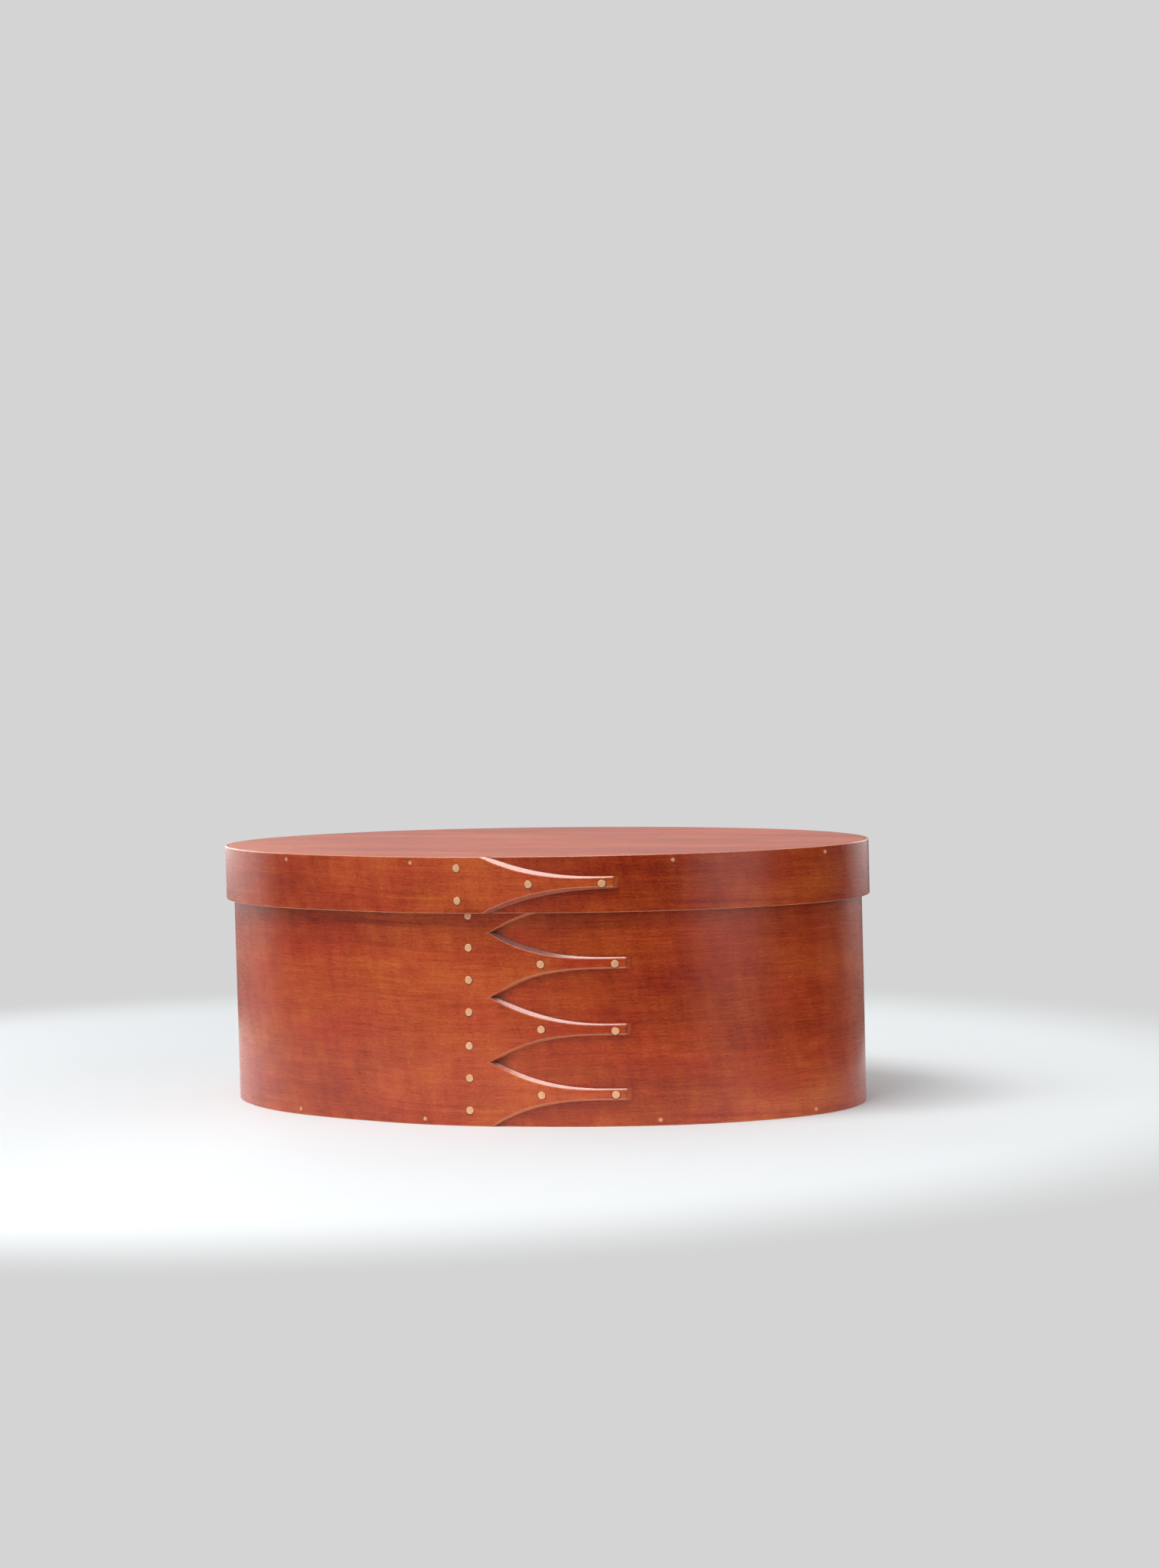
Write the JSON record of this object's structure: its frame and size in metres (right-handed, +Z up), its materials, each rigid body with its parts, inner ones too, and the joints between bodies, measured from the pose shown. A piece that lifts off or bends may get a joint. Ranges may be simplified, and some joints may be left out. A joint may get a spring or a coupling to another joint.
{
  "type": "oval bentwood box",
  "caption": "Oval bentwood storage box with a lift-off lid; its bent bands lap at the front in tapered swallowtail fingers held by copper tacks.",
  "frame": {"origin": "centre of the oval on the underside of the box, on the surface that it stands on", "axes": "+X along the length of the oval, the lapped fingers on the -Y front, +Z up"},
  "size_m": [0.36, 0.2352, 0.1373],
  "materials": {
    "cherry_band": "oiled red-brown cherry, satin, with its grain along the band",
    "cherry_board": "oiled cherry board, satin, with its grain along the length",
    "copper": "pale hammered copper, satin",
    "peg_wood": "pale end grain, satin"
  },
  "bodies": {
    "box": {"box_band": "cherry_band", "box_bottom": "cherry_board", "box_root_tacks": "copper", "box_middle_tacks": "copper", "box_tip_tacks": "copper", "box_pegs": "peg_wood"},
    "lid": {"lid_band": "cherry_band", "lid_top": "cherry_board", "lid_root_tacks": "copper", "lid_finger_tacks": "copper", "lid_pegs": "peg_wood"}
  },
  "joints": [
    {"name": "lid_lift", "type": "slide", "parent": "box", "child": "lid", "axis": [0, 0, 1], "range_m": [0, 0.1]}
  ]
}
